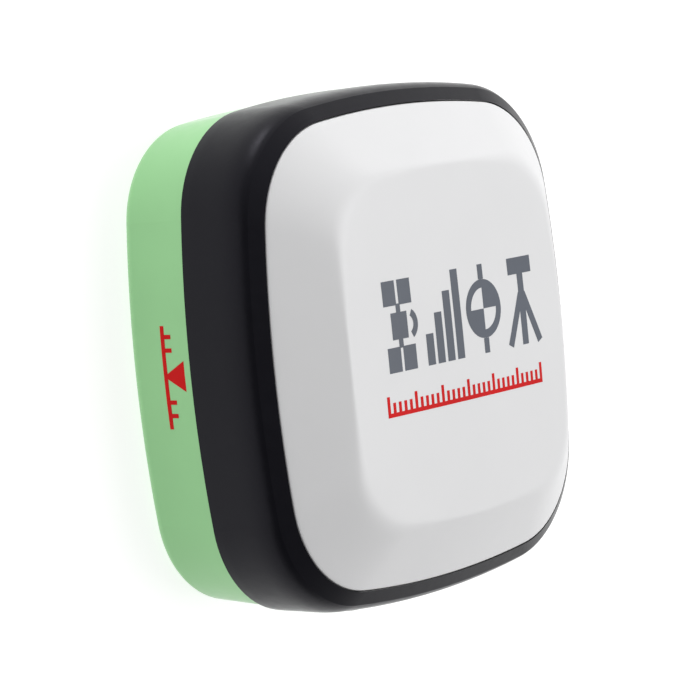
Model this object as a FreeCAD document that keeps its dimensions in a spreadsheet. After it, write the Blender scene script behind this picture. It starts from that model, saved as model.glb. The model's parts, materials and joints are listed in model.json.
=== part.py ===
"""A palm-sized GNSS smart antenna that screws onto a survey pole.

Frame: origin at the bottom centre, +Z up along the antenna boresight, -Y towards the console
with the power button, the status lights and the charging port. All sizes are in millimetres.
"""
import math
import os
import re

import FreeCAD
import Part
import Sketcher

V = FreeCAD.Vector
UP = V(0, 0, 1)

# Driving dimensions, by the piece they belong to. A "half" is half the width of a rounded-square
# outline, its "corner" is the corner radius, and heights are measured from the bottom face.
# A cut runs 1 mm past each surface that it opens.
SIZES = {
    "shared outline": {"bulge_offset": 200.5, "beyond_all": 60.0},
    "base housing": {
        "base_half": 52.7, "base_corner": 21.9, "base_draft": 4.58, "base_top": 18.1,
        "base_round": 3.0, "floor_thick": 3.0, "cavity_half": 49.9, "cavity_corner": 19.1,
        "boss_radius": 14.5, "boss_top": 19.5, "post_place": 38.0, "post_radius": 4.6,
        "post_top": 15.4, "head_bore": 3.3, "head_bore_depth": 5.0, "screw_clearance": 1.7,
        "groove_out": 53.3, "groove_in": 52.1, "groove_depth": 0.9},
    "bumper band": {
        "band_low": 18.4, "band_half": 54.7, "band_corner": 23.4,
        "belly_low": 24.5, "belly_low_half": 54.9, "belly_low_corner": 24.2,
        "belly_high": 30.5, "belly_high_half": 55.0, "belly_high_corner": 24.9,
        "turn_high": 33.4, "turn_half": 54.55, "turn_corner": 25.2,
        "shoulder_high": 35.25, "shoulder_half": 53.6, "shoulder_corner": 25.4,
        "shoulder_round": 0.4, "seam_half": 50.7, "seam_corner": 23.2, "seam_high": 37.3,
        "bore_half": 51.9, "bore_corner": 20.6, "bore_high": 35.1, "lip_low": 36.0},
    "middle frame": {
        "ring_half": 51.7, "ring_corner": 20.4, "ring_top": 35.0, "tongue_half": 49.6,
        "tongue_corner": 18.8, "tongue_low": 15.4, "ring_bore": 48.4, "ring_bore_corner": 19.0,
        "chassis_low": 32.0, "pilot_radius": 1.15, "pilot_depth": 6.0},
    "radome": {
        "rim_half": 50.45, "rim_corner": 22.95, "rim_low": 35.8, "rim_top": 37.4,
        "peak_half": 34.17, "peak_corner": 12.9, "peak_high": 49.0, "dome_top": 47.6,
        "dome_radius": 777.0, "dome_reach": 65.0, "dome_clear": 5.0, "crease_round": 4.0,
        "spigot_half": 48.1,
        "spigot_corner": 19.6, "spigot_low": 33.8, "hollow_half": 46.9, "hollow_corner": 18.4,
        "hollow_turn": 37.5, "ceiling": 44.9, "ceiling_half": 36.5, "ceiling_corner": 14.0,
        "radome_boss_x": 43.5, "radome_boss_y": 13.0, "radome_boss": 2.6, "radome_boss_top": 40.0},
    "gaskets": {
        "lower_seal_low": 17.2, "lower_seal_out": 53.2, "lower_seal_in": 52.2,
        "upper_seal_out": 50.2, "upper_seal_out_corner": 22.7, "upper_seal_in": 48.9,
        "upper_seal_in_corner": 21.4},
    "pole thread insert": {
        "thread_radius": 7.94, "insert_radius": 10.5, "insert_top": 16.5, "flange_radius": 12.5,
        "flange_thick": 1.5, "mouth_chamfer": 0.8, "insert_gap": 0.05, "knurl_count": 24,
        "knurl_depth": 0.4, "knurl_low": 4.0, "knurl_high": 13.0},
    "housing screws": {
        "cap_low": 2.0, "cap_radius": 2.75, "shank_radius": 1.45, "shank_top": 21.0,
        "tip_chamfer": 0.4, "socket_radius": 1.44, "socket_depth": 1.3, "nut_radius": 2.3,
        "nut_bore": 1.55, "nut_top": 21.4},
    "small screws": {
        "small_cap": 2.2, "small_cap_high": 1.7, "small_shank": 1.1, "small_hole": 1.35,
        "small_socket": 1.0, "small_socket_depth": 0.8, "board_screw_reach": 4.0,
        "chassis_screw_reach": 5.0},
    "underside": {
        "plate_half": 19.8, "plate_low": -41.8, "plate_high": -24.2, "plate_thick": 0.4,
        "plate_gap": 0.2, "plate_recess": 0.5, "vent_y": 41.5, "vent_head": 4.0,
        "vent_head_low": 0.2, "vent_head_top": 1.2, "vent_stem": 2.5, "vent_top": 4.5,
        "vent_bore": 1.0, "vent_gap": 0.1, "membrane_radius": 2.2, "membrane_thick": 0.2},
    "console": {
        "opening_half": 27.7, "opening_low": 19.6, "opening_high": 32.4, "opening_round": 3.0,
        "console_gap": 0.3, "console_face": 52.6, "panel_thick": 1.0, "block_inner": 47.0},
    "power button": {
        "button_x": 17.0, "button_z": 26.0, "button_radius": 4.2, "button_face": 54.2,
        "button_gap": 0.3, "button_flange": 5.2, "button_flange_low": 51.2,
        "button_flange_high": 52.0, "button_well": 5.6, "stem_radius": 1.6, "stem_low": 50.4,
        "button_seal_in": 4.5, "button_seal_out": 5.5, "button_seal_thick": 0.5,
        "button_dish": 0.25, "dish_radius": 3.2},
    "button board": {
        "side_board_left": -5.0, "side_board_right": 26.0, "side_board_low": 20.0,
        "side_board_high": 31.4, "side_board_face": 47.5, "side_board_thick": 1.0,
        "side_board_room": 0.8, "switch_half": 3.0, "switch_high": 2.5, "plunger_gap": 0.08,
        "plunger_end": 49.0, "plunger_room": 48.2, "flex_left": 0.0, "flex_right": 6.0,
        "flex_high": 28.0, "flex_inner": 41.8, "flex_thick": 0.25},
    "status lights": {
        "light_x": -2.5, "light_pitch": 4.5, "light_count": 3, "pipe_radius": 0.9,
        "pipe_gap": 0.1, "pipe_well": 1.3, "pipe_face": 53.75, "pipe_end": 48.4,
        "led_half_x": 0.8, "led_half_z": 0.4, "led_high": 0.7},
    "charging port": {
        "port_x": -15.0, "port_z": 26.6, "mouth_half_x": 6.5, "mouth_half_z": 3.4,
        "mouth_round": 1.2, "liner_wall": 0.9, "liner_back": 46.6, "mouth_end": 47.4,
        "liner_gap": 0.1, "socket_half_x": 4.47, "socket_half_z": 1.6, "socket_long": 7.3,
        "socket_wall": 0.3, "socket_deep": 5.0, "socket_end_share": 0.95,
        "contact_half_x": 3.35, "contact_half_z": 0.35, "contact_short": 0.8,
        "socket_room": 0.15},
    "port cover": {
        "cover_half": 7.5, "cover_low": 23.6, "cover_high": 30.9, "cover_gap": 0.25,
        "hinge_y": 52.7, "hinge_z": 22.1, "knuckle_radius": 0.9, "knuckle_half": 5.0,
        "pin_radius": 0.5, "pin_gap": 0.06, "pin_half": 7.3, "ear_inner": 5.3, "ear_low": 20.9,
        "ear_high": 23.0, "ear_face": 53.5, "ear_back": 51.6, "cover_room_low": 20.8,
        "relief_back": 51.5, "relief_high": 23.25, "cover_round": 0.3, "grip_half": 2.5,
        "grip_low": 29.7, "grip_high": 30.2, "grip_proud": 0.35, "seal_inset": 0.5,
        "seal_thick": 0.5, "seal_width": 1.0},
    "main board": {
        "board_low": 23.4, "board_thick": 1.6, "board_half": 47.2, "board_corner": 19.0,
        "board_notch": 5.6, "edge_notch_left": -24.0, "edge_notch_right": 28.0,
        "edge_notch_y": -46.2, "deep_notch_left": -6.0, "deep_notch_y": -44.0,
        "standoff_x": 41.0, "standoff_y": 10.0, "standoff_radius": 2.6, "standoff_bore": 1.2,
        "lead_x": 37.0, "lead_y": -26.0, "lead_hole": 1.7},
    "board components": {
        "can_left": -32.0, "can_right": -6.0, "can_near": -12.0, "can_far": 14.0,
        "can_high": 2.2, "can_wall": 0.2, "can_round": 1.2,
        "processor_left": 4.0, "processor_right": 18.0, "processor_near": -8.0,
        "processor_far": 6.0, "processor_high": 1.2,
        "radio_left": 8.0, "radio_right": 26.0, "radio_near": 16.0, "radio_far": 32.0,
        "radio_high": 2.0, "chip_half": 4.0, "chip_near": 44.0, "chip_far": 46.4,
        "chip_high": 1.2, "lead_plug_left": 24.0, "lead_plug_right": 30.5,
        "lead_plug_half": 4.0, "lead_plug_high": 4.5, "flex_plug_left": -0.5,
        "flex_plug_right": 6.5, "flex_plug_near": -43.0, "flex_plug_far": -41.0,
        "flex_plug_high": 1.0},
    "cables": {
        "lead_radius": 0.7, "lead_bend": 1.8, "lead_low": 6.0, "lead_high": 2.8,
        "coax_radius": 0.6, "coax_bend": 1.6, "coax_x": 32.0, "coax_y": 12.0,
        "coax_drop": 1.2},
    "battery": {
        "cell_x": 24.5, "cell_z": 13.0, "cell_radius": 9.2, "cell_half": 32.5,
        "terminal_radius": 3.2, "terminal_high": 0.9, "cell_gap": 0.15, "cradle_half_x": 34.6,
        "cradle_half_y": 34.6, "cradle_plate": 1.0, "cradle_high": 8.5, "saddle_half": 9.7,
        "cradle_hole": 15.0, "strap_half": 5.0, "strap_thick": 0.6, "strap_low": 8.6},
    "antenna": {
        "chassis_half": 48.0, "chassis_corner": 19.4, "chassis_thick": 1.2,
        "lower_patch_half": 30.0, "lower_patch_thick": 5.0, "upper_patch_half": 20.0,
        "upper_patch_thick": 4.8, "patch_round": 1.5, "feed_radius": 0.45, "feed_hole": 0.55,
        "feed_slot": 1.2, "feed_head": 1.2, "feed_head_thick": 0.3, "upper_feed_x": 5.0,
        "lower_feed_x": 24.0, "antenna_board_half": 27.0, "antenna_board_thick": 1.0,
        "shield_half": 18.0, "shield_high": 2.4, "shield_wall": 0.3},
}
ALIASES = {alias for group in SIZES.values() for alias in group}

DOC = FreeCAD.newDocument("gnss_receiver")
SHEET = DOC.addObject("Spreadsheet::Sheet", "Sizes")
PARTS = []


# ---- the sheet and its expressions ----------------------------------------------------------

def fill_sheet():
    """Write each driving dimension in a row of its own, with its alias."""
    row = 0
    for group, sizes in SIZES.items():
        row += 1
        SHEET.set(f"A{row}", group)
        for alias, value in sizes.items():
            row += 1
            SHEET.set(f"A{row}", alias)
            SHEET.set(f"B{row}", str(value))
            SHEET.setAlias(f"B{row}", alias)
    DOC.recompute()


def number(expression):
    """The present value of an expression in the sheet's aliases."""
    return float(SHEET.evalExpression(expression))


def linked(expression):
    """The same expression with the sheet's name before each alias."""
    def add_sheet(word):
        return "Sizes." + word.group() if word.group() in ALIASES else word.group()
    return re.sub(r"[a-z][a-z_]*", add_sheet, expression)


def bind(thing, prop, expression):
    """Tie a property to the sheet."""
    thing.setExpression(prop, linked(expression))


# ---- sketches -------------------------------------------------------------------------------

def dimension(sketch, kind, *where, size):
    """Add a dimension to a sketch and tie it to the sheet."""
    index = sketch.addConstraint(Sketcher.Constraint(kind, *where, number(size)))
    name = f"size_{index}"
    sketch.renameConstraint(index, name)
    bind(sketch, f"Constraints.{name}", size)


def locate(sketch, geometry, point, x, y):
    """Fix one point of a sketch's geometry by its distances from the sketch's origin."""
    dimension(sketch, "DistanceX", -1, 1, geometry, point, size=x)
    dimension(sketch, "DistanceY", -1, 1, geometry, point, size=y)


def circle(x, y, radius):
    """A circle about a point."""
    def draw(sketch):
        centre = V(number(x), number(y), 0)
        index = sketch.addGeometry(Part.Circle(centre, UP, number(radius)))
        locate(sketch, index, 3, x, y)
        dimension(sketch, "Radius", index, size=radius)
    return draw


def polygon(*points):
    """A closed outline of straight lines through the points."""
    def draw(sketch):
        first = sketch.GeometryCount
        count = len(points)
        corners = [V(number(x), number(y), 0) for x, y in points]
        for i in range(count):
            sketch.addGeometry(Part.LineSegment(corners[i], corners[(i + 1) % count]))
        for i in range(count):
            following = first + (i + 1) % count
            sketch.addConstraint(Sketcher.Constraint("Coincident", first + i, 2, following, 1))
        for i, (x, y) in enumerate(points):
            locate(sketch, first + i, 1, x, y)
    return draw


def rectangle(left, low, right, high):
    """A rectangle by its four edges."""
    return polygon((left, low), (right, low), (right, high), (left, high))


def rounded_rectangle(left, low, right, high, radius):
    """A rectangle whose corners are tangent arcs."""
    def draw(sketch):
        first = sketch.GeometryCount
        x = (number(left), number(right))
        y = (number(low), number(high))
        r = number(radius)
        corners = [(x[1], y[0], -1, 1), (x[1], y[1], -1, -1), (x[0], y[1], 1, -1), (x[0], y[0], 1, 1)]
        starts = [V(x[0] + r, y[0], 0), V(x[1], y[0] + r, 0), V(x[1] - r, y[1], 0), V(x[0], y[1] - r, 0)]
        ends = [V(x[1] - r, y[0], 0), V(x[1], y[1] - r, 0), V(x[0] + r, y[1], 0), V(x[0], y[0] + r, 0)]
        for i, (corner_x, corner_y, to_x, to_y) in enumerate(corners):
            turn = math.radians(90 * (i - 1))
            rounding = Part.Circle(V(corner_x + to_x * r, corner_y + to_y * r, 0), UP, r)
            sketch.addGeometry(Part.LineSegment(starts[i], ends[i]))
            sketch.addGeometry(Part.ArcOfCircle(rounding, turn, turn + math.pi / 2))
        for i in range(8):
            sketch.addConstraint(Sketcher.Constraint("Tangent", first + i, 2, first + (i + 1) % 8, 1))
        for i in (3, 5, 7):
            sketch.addConstraint(Sketcher.Constraint("Equal", first + 1, first + i))
        for i, kind in ((0, "Horizontal"), (2, "Vertical"), (4, "Horizontal"), (6, "Vertical")):
            sketch.addConstraint(Sketcher.Constraint(kind, first + i))
        dimension(sketch, "Radius", first + 1, size=radius)
        dimension(sketch, "DistanceY", -1, 1, first, 1, size=low)
        dimension(sketch, "DistanceX", -1, 1, first + 2, 1, size=right)
        dimension(sketch, "DistanceY", -1, 1, first + 4, 1, size=high)
        dimension(sketch, "DistanceX", -1, 1, first + 6, 1, size=left)
    return draw


def bulged_square(half, corner):
    """The receiver's outline: four gently bulged sides joined by four tangent corner arcs.

    Every side is an arc whose centre lies bulge_offset beyond the middle, so outlines of
    different sizes keep the same bulge.
    """
    def draw(sketch):
        first = sketch.GeometryCount
        offset = number("bulge_offset")
        corner_radius = number(corner)
        side_radius = number(half) + offset
        reach = math.sqrt(2 * (side_radius - corner_radius) ** 2 - offset ** 2)
        corner_centre = (reach - offset) / 2
        swing = math.atan2(corner_centre, corner_centre + offset)
        for quarter in range(4):
            turn = quarter * math.pi / 2
            across = V(math.cos(turn), math.sin(turn), 0)
            along = V(-across.y, across.x, 0)
            side = Part.Circle(across * -offset, UP, side_radius)
            rounding = Part.Circle((across + along) * corner_centre, UP, corner_radius)
            sketch.addGeometry(Part.ArcOfCircle(side, turn - swing, turn + swing))
            sketch.addGeometry(Part.ArcOfCircle(rounding, turn + swing, turn + math.pi / 2 - swing))
        for i in range(8):
            sketch.addConstraint(Sketcher.Constraint("Tangent", first + i, 2, first + (i + 1) % 8, 1))
        for i in (2, 4, 6):
            sketch.addConstraint(Sketcher.Constraint("Equal", first, first + i))
            sketch.addConstraint(Sketcher.Constraint("Equal", first + 1, first + i + 1))
        for i, axis in ((0, -1), (2, -2), (4, -1), (6, -2)):
            sketch.addConstraint(Sketcher.Constraint("PointOnObject", first + i, 3, axis))
            dimension(sketch, "Distance", first + i, 3, -1, 1, size="bulge_offset")
        dimension(sketch, "Radius", first, size=f"{half} + bulge_offset")
        dimension(sketch, "Radius", first + 1, size=corner)
    return draw


def hexagon(x, y, radius):
    """A hexagon about a point, by the radius of its corners."""
    return polygon(*((f"{x} + {radius} * cos({60 * i})", f"{y} + {radius} * sin({60 * i})")
                     for i in range(6)))


# ---- bodies and their features --------------------------------------------------------------

def new_body(label):
    """An empty body, kept as a sub-part of that name."""
    body = DOC.addObject("PartDesign::Body", label)
    body.Label = label
    body.AllowCompound = True
    PARTS.append(body)
    return body


def origin_feature(body, role):
    """One of a body's own origin planes or axes."""
    return next(feature for feature in body.Origin.OriginFeatures if feature.Role == role)


def new_sketch(body, name, plane, start, shapes, shift=("0", "0")):
    """A sketch on a plane parallel to one of the body's own, start along that plane's normal."""
    sketch = body.newObject("Sketcher::SketchObject", name)
    sketch.AttachmentSupport = [(origin_feature(body, plane), "")]
    sketch.MapMode = "FlatFace"
    bind(sketch, "AttachmentOffset.Base.x", shift[0])
    bind(sketch, "AttachmentOffset.Base.y", shift[1])
    bind(sketch, "AttachmentOffset.Base.z", start)
    for draw in shapes:
        draw(sketch)
    return sketch


def pad(body, name, plane, start, end, *shapes, draft="0"):
    """Add the shapes as a prism from start to end along the plane's normal."""
    feature = body.newObject("PartDesign::Pad", name)
    feature.Profile = new_sketch(body, name + "Sketch", plane, start, shapes)
    bind(feature, "Length", f"({end}) - ({start})")
    bind(feature, "TaperAngle", draft)
    body.Tip = feature
    DOC.recompute()
    return feature


def pocket(body, name, plane, start, end, *shapes):
    """Cut the shapes as a prism from start to end along the plane's normal."""
    before = body.Shape.Volume
    feature = body.newObject("PartDesign::Pocket", name)
    feature.Profile = new_sketch(body, name + "Sketch", plane, start, shapes)
    bind(feature, "Length", f"({end}) - ({start})")
    feature.Reversed = True
    body.Tip = feature
    DOC.recompute()
    if body.Shape.Volume >= before:
        raise RuntimeError(f"{body.Label}: {name} cuts nothing")
    return feature


def loft(body, name, kind, *sections, ruled=True):
    """Add or cut the loft through outlines given as (height, half, corner)."""
    outlines = []
    for i, (height, half, corner) in enumerate(sections):
        shapes = [bulged_square(half, corner)]
        outlines.append(new_sketch(body, f"{name}Section{i}", "XY_Plane", height, shapes))
    feature = body.newObject(kind, name)
    feature.Profile = outlines[0]
    feature.Sections = outlines[1:]
    feature.Ruled = ruled
    body.Tip = feature
    DOC.recompute()
    return feature


def turned(body, name, points, x="0", y="0"):
    """Add the solid of revolution of an (r, z) outline about an upright axis at x, y."""
    feature = body.newObject("PartDesign::Revolution", name)
    sketch = new_sketch(body, name + "Sketch", "XZ_Plane", f"0 - ({y})", [polygon(*points)], (x, "0"))
    feature.Profile = sketch
    feature.ReferenceAxis = (sketch, ["V_Axis"])
    feature.Angle = 360
    body.Tip = feature
    DOC.recompute()
    return feature


def around(body, originals, count):
    """Repeat features evenly about the boresight."""
    feature = body.newObject("PartDesign::PolarPattern", body.Label + "Pattern")
    feature.Originals = originals
    feature.Axis = (origin_feature(body, "Z_Axis"), [""])
    feature.Angle = 360
    feature.Occurrences = count
    body.Tip = feature
    DOC.recompute()
    return feature


def in_row(body, originals, pitch, count):
    """Repeat features along X."""
    feature = body.newObject("PartDesign::LinearPattern", body.Label + "Row")
    feature.Originals = originals
    feature.Direction = (origin_feature(body, "X_Axis"), [""])
    bind(feature, "Length", f"({pitch}) * ({count} - 1)")
    bind(feature, "Occurrences", count)
    body.Tip = feature
    DOC.recompute()
    return feature


def level_edges(shape, height):
    """Names of the edges that lie wholly at one height."""
    def is_level(edge):
        return all(abs(vertex.Z - height) < 1e-4 for vertex in edge.Vertexes)
    return [f"Edge{i}" for i, edge in enumerate(shape.Edges, 1) if is_level(edge)]


def fillet(body, name, base, edges, radius):
    """Round a feature's named edges."""
    feature = body.newObject("PartDesign::Fillet", name)
    feature.Base = (base, edges)
    bind(feature, "Radius", radius)
    body.Tip = feature
    DOC.recompute()
    return feature


def box(label, x, y, z):
    """A plain block between a low and a high limit on each axis, as a sub-part."""
    solid = DOC.addObject("Part::Box", label)
    solid.Label = label
    for prop, axis, (low, high) in (("Length", "x", x), ("Width", "y", y), ("Height", "z", z)):
        bind(solid, prop, f"({high}) - ({low})")
        bind(solid, f"Placement.Base.{axis}", low)
    PARTS.append(solid)
    return solid


def cylinder(label, x, y, low, high, radius):
    """An upright cylinder as a sub-part."""
    solid = DOC.addObject("Part::Cylinder", label)
    solid.Label = label
    bind(solid, "Radius", radius)
    bind(solid, "Height", f"({high}) - ({low})")
    bind(solid, "Placement.Base.x", x)
    bind(solid, "Placement.Base.y", y)
    bind(solid, "Placement.Base.z", low)
    PARTS.append(solid)
    return solid


# ---- shells ---------------------------------------------------------------------------------

def make_base_housing():
    """Drafted tub with a rounded base edge, the pole boss and four screw posts."""
    body = new_body("base_housing")
    shell = pad(body, "Shell", "XY_Plane", "0", "base_top",
                bulged_square("base_half", "base_corner"), draft="base_draft")
    fillet(body, "BaseEdge", shell, level_edges(shell.Shape, 0), "base_round")
    pocket(body, "Cavity", "XY_Plane", "floor_thick", "base_top + 1",
           bulged_square("cavity_half", "cavity_corner"))
    groove_corner = "base_corner + groove_{} - base_half"
    pocket(body, "GasketGroove", "XY_Plane", "base_top - groove_depth", "base_top + 1",
           bulged_square("groove_out", groove_corner.format("out")),
           bulged_square("groove_in", groove_corner.format("in")))
    pad(body, "PoleBoss", "XY_Plane", "floor_thick", "boss_top", circle("0", "0", "boss_radius"))
    pocket(body, "InsertBore", "XY_Plane", "-1", "insert_top",
           circle("0", "0", "insert_radius + insert_gap"))
    pocket(body, "FlangeSeat", "XY_Plane", "-1", "flange_thick",
           circle("0", "0", "flange_radius + insert_gap"))
    pocket(body, "PlateRecess", "XY_Plane", "-1", "plate_recess",
           rectangle("0 - plate_half - plate_gap", "plate_low - plate_gap",
                     "plate_half + plate_gap", "plate_high + plate_gap"))
    pocket(body, "VentSeat", "XY_Plane", "-1", "vent_head_top",
           circle("0", "vent_y", "vent_head + vent_gap"))
    pocket(body, "VentHole", "XY_Plane", "-1", "floor_thick + 1",
           circle("0", "vent_y", "vent_stem + vent_gap"))
    post = pad(body, "Post", "XY_Plane", "floor_thick", "post_top",
               circle("post_place", "post_place", "post_radius"))
    bore = pocket(body, "ScrewHole", "XY_Plane", "-1", "post_top + 1",
                  circle("post_place", "post_place", "screw_clearance"))
    seat = pocket(body, "HeadBore", "XY_Plane", "-1", "head_bore_depth",
                  circle("post_place", "post_place", "head_bore"))
    around(body, [post, bore, seat], 4)


def make_bumper_band():
    """Rubber band: a slightly bellied side, and a lip that slopes up to the radome's seam."""
    body = new_body("bumper_band")
    loft(body, "Side", "PartDesign::AdditiveLoft",
         ("band_low", "band_half", "band_corner"),
         ("belly_low", "belly_low_half", "belly_low_corner"),
         ("belly_high", "belly_high_half", "belly_high_corner"),
         ("turn_high", "turn_half", "turn_corner"),
         ("shoulder_high", "shoulder_half", "shoulder_corner"), ruled=False)
    lip = loft(body, "Lip", "PartDesign::AdditiveLoft",
               ("shoulder_high", "shoulder_half", "shoulder_corner"),
               ("seam_high", "seam_half", "seam_corner"))
    edges = level_edges(lip.Shape, number("shoulder_high"))
    fillet(body, "Shoulder", lip, edges, "shoulder_round")
    pocket(body, "Bore", "XY_Plane", "band_low - 1", "bore_high",
           bulged_square("bore_half", "bore_corner"))
    loft(body, "LipUnderside", "PartDesign::SubtractiveLoft",
         ("bore_high", "bore_half", "bore_corner"), ("lip_low", "seam_half", "seam_corner"))
    pocket(body, "SeamOpening", "XY_Plane", "lip_low", "seam_high + 1",
           bulged_square("seam_half", "seam_corner"))
    pocket(body, "ConsoleOpening", "XZ_Plane", "block_inner", "belly_high_half + 1",
           rounded_rectangle("0 - opening_half", "opening_low", "opening_half", "opening_high",
                             "opening_round"))


def console_outline():
    """The console's outline, a gap inside the opening of the bumper band."""
    return rounded_rectangle("console_gap - opening_half", "opening_low + console_gap",
                             "opening_half - console_gap", "opening_high - console_gap",
                             "opening_round - console_gap")


def make_mid_frame():
    """Stiff ring inside the bumper: it joins the base, the antenna chassis and the console."""
    body = new_body("mid_frame")
    pad(body, "Ring", "XY_Plane", "band_low", "ring_top", bulged_square("ring_half", "ring_corner"))
    pad(body, "Tongue", "XY_Plane", "tongue_low", "band_low + 1",
        bulged_square("tongue_half", "tongue_corner"))
    pad(body, "ConsoleBlock", "XZ_Plane", "block_inner", "console_face", console_outline())
    pocket(body, "RingBore", "XY_Plane", "tongue_low - 1", "ring_top + 1",
           bulged_square("ring_bore", "ring_bore_corner"))
    pocket(body, "BoardRoom", "XZ_Plane", "block_inner - 1", "side_board_face + side_board_room",
           rectangle("side_board_left - side_board_room", "side_board_low - side_board_room",
                     "side_board_right + side_board_room", "side_board_high + side_board_room"))
    tunnel_x = "mouth_half_x + liner_wall + liner_gap"
    tunnel_z = "mouth_half_z + liner_wall + liner_gap"
    pocket(body, "PortTunnel", "XZ_Plane", "block_inner - 1", "console_face + 1",
           rectangle(f"port_x - ({tunnel_x})", f"port_z - ({tunnel_z})",
                     f"port_x + {tunnel_x}", f"port_z + {tunnel_z}"))
    pocket(body, "HingeRelief", "XZ_Plane", "relief_back", "console_face + 1",
           rectangle("port_x - cover_half - cover_gap", "cover_room_low",
                     "port_x + cover_half + cover_gap", "relief_high"))
    pocket(body, "ButtonWell", "XZ_Plane", "block_inner - 1", "console_face + 1",
           circle("button_x", "button_z", "button_well"))
    well = pocket(body, "PipeWell", "XZ_Plane", "block_inner - 1", "console_face + 1",
                  circle("light_x", "button_z", "pipe_well"))
    in_row(body, [well], "light_pitch", "light_count")
    boss = pad(body, "Boss", "XY_Plane", "tongue_low", "chassis_low",
               circle("post_place", "post_place", "post_radius"))
    seat = pocket(body, "NutSeat", "XY_Plane", "tongue_low - 1", "nut_top",
                  circle("post_place", "post_place", "nut_radius + insert_gap"))
    pilot = pocket(body, "Pilot", "XY_Plane", "chassis_low - pilot_depth", "chassis_low + 1",
                   circle("post_place", "post_place", "pilot_radius"))
    around(body, [boss, seat, pilot], 4)


def make_radome():
    """Signal-clear cover: a rim, a straight slope and a slightly domed top, hollow inside."""
    body = new_body("radome")
    pad(body, "Rim", "XY_Plane", "rim_low", "rim_top", bulged_square("rim_half", "rim_corner"))
    loft(body, "Slope", "PartDesign::AdditiveLoft", ("rim_top", "rim_half", "rim_corner"),
         ("peak_high", "peak_half", "peak_corner"))
    dome = cut_dome(body)
    fillet(body, "Crease", dome, crease_edges(dome.Shape), "crease_round")
    pad(body, "Spigot", "XY_Plane", "spigot_low", "rim_low + 1",
        bulged_square("spigot_half", "spigot_corner"))
    pocket(body, "SpigotBore", "XY_Plane", "spigot_low - 1", "hollow_turn",
           bulged_square("hollow_half", "hollow_corner"))
    loft(body, "Hollow", "PartDesign::SubtractiveLoft",
         ("hollow_turn", "hollow_half", "hollow_corner"),
         ("ceiling", "ceiling_half", "ceiling_corner"))
    boss = pad(body, "Boss", "XY_Plane", "chassis_low + chassis_thick", "radome_boss_top",
               circle("radome_boss_x", "radome_boss_y", "radome_boss"))
    pilot = pocket(body, "Pilot", "XY_Plane", "chassis_low", "chassis_low + pilot_depth",
                   circle("radome_boss_x", "radome_boss_y", "pilot_radius"))
    around(body, [boss, pilot], 4)


def cut_dome(body):
    """Cut the peak off with a shallow sphere, so the top face is slightly domed."""
    radius = number("dome_radius")
    top = number("dome_top")
    reach = number("dome_reach")
    drop = math.sqrt(radius ** 2 - reach ** 2)
    high = number("peak_high + dome_clear")
    sketch = new_sketch(body, "DomeSketch", "XZ_Plane", "0", [])
    sphere = Part.Circle(V(0, top - radius, 0), UP, radius)
    sketch.addGeometry(Part.ArcOfCircle(sphere, math.atan2(drop, reach), math.pi / 2))
    corners = [V(0, top, 0), V(0, high, 0), V(reach, high, 0), V(reach, top - radius + drop, 0)]
    for start, end in zip(corners, corners[1:]):
        sketch.addGeometry(Part.LineSegment(start, end))
    for geometry, point, following, start in ((0, 2, 1, 1), (1, 2, 2, 1), (2, 2, 3, 1), (3, 2, 0, 1)):
        sketch.addConstraint(Sketcher.Constraint("Coincident", geometry, point, following, start))
    for geometry, kind in ((1, "Vertical"), (2, "Horizontal"), (3, "Vertical")):
        sketch.addConstraint(Sketcher.Constraint(kind, geometry))
    locate(sketch, 0, 3, "0", "dome_top - dome_radius")
    dimension(sketch, "Radius", 0, size="dome_radius")
    dimension(sketch, "DistanceX", -1, 1, 1, 1, size="0")
    dimension(sketch, "DistanceY", -1, 1, 2, 1, size="peak_high + dome_clear")
    dimension(sketch, "DistanceX", -1, 1, 3, 1, size="dome_reach")
    feature = body.newObject("PartDesign::Groove", "Dome")
    feature.Profile = sketch
    feature.ReferenceAxis = (sketch, ["V_Axis"])
    feature.Angle = 360
    body.Tip = feature
    DOC.recompute()
    return feature


def crease_edges(shape):
    """Names of the edges between the domed top and the slope."""
    top = max(shape.Faces, key=lambda face: face.CenterOfMass.z)
    return [f"Edge{i}" for i, edge in enumerate(shape.Edges, 1)
            if any(edge.isSame(other) for other in top.Edges)]


def make_gaskets():
    """Two flat rings: one under the bumper band, one under the radome's rim."""
    lower = new_body("lower_gasket")
    corner = "base_corner + lower_seal_{} - base_half"
    pad(lower, "Ring", "XY_Plane", "lower_seal_low", "band_low",
        bulged_square("lower_seal_out", corner.format("out")),
        bulged_square("lower_seal_in", corner.format("in")))
    upper = new_body("upper_gasket")
    pad(upper, "Ring", "XY_Plane", "ring_top", "rim_low",
        bulged_square("upper_seal_out", "upper_seal_out_corner"),
        bulged_square("upper_seal_in", "upper_seal_in_corner"))


# ---- base hardware --------------------------------------------------------------------------

def make_thread_insert():
    """Brass insert for the pole's 5/8 inch stud, with a flange and a knurled waist."""
    body = new_body("thread_insert")
    turned(body, "Turned", [
        ("thread_radius + mouth_chamfer", "0"), ("flange_radius", "0"),
        ("flange_radius", "flange_thick"), ("insert_radius", "flange_thick"),
        ("insert_radius", "insert_top"), ("thread_radius", "insert_top"),
        ("thread_radius", "mouth_chamfer")])
    groove = pocket(body, "Knurl", "XY_Plane", "knurl_low", "knurl_high",
                    polygon(("insert_radius - knurl_depth", "0"),
                            ("insert_radius + 1", "0 - knurl_depth - 1"),
                            ("insert_radius + 1", "knurl_depth + 1")))
    around(body, [groove], int(number("knurl_count")))


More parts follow.
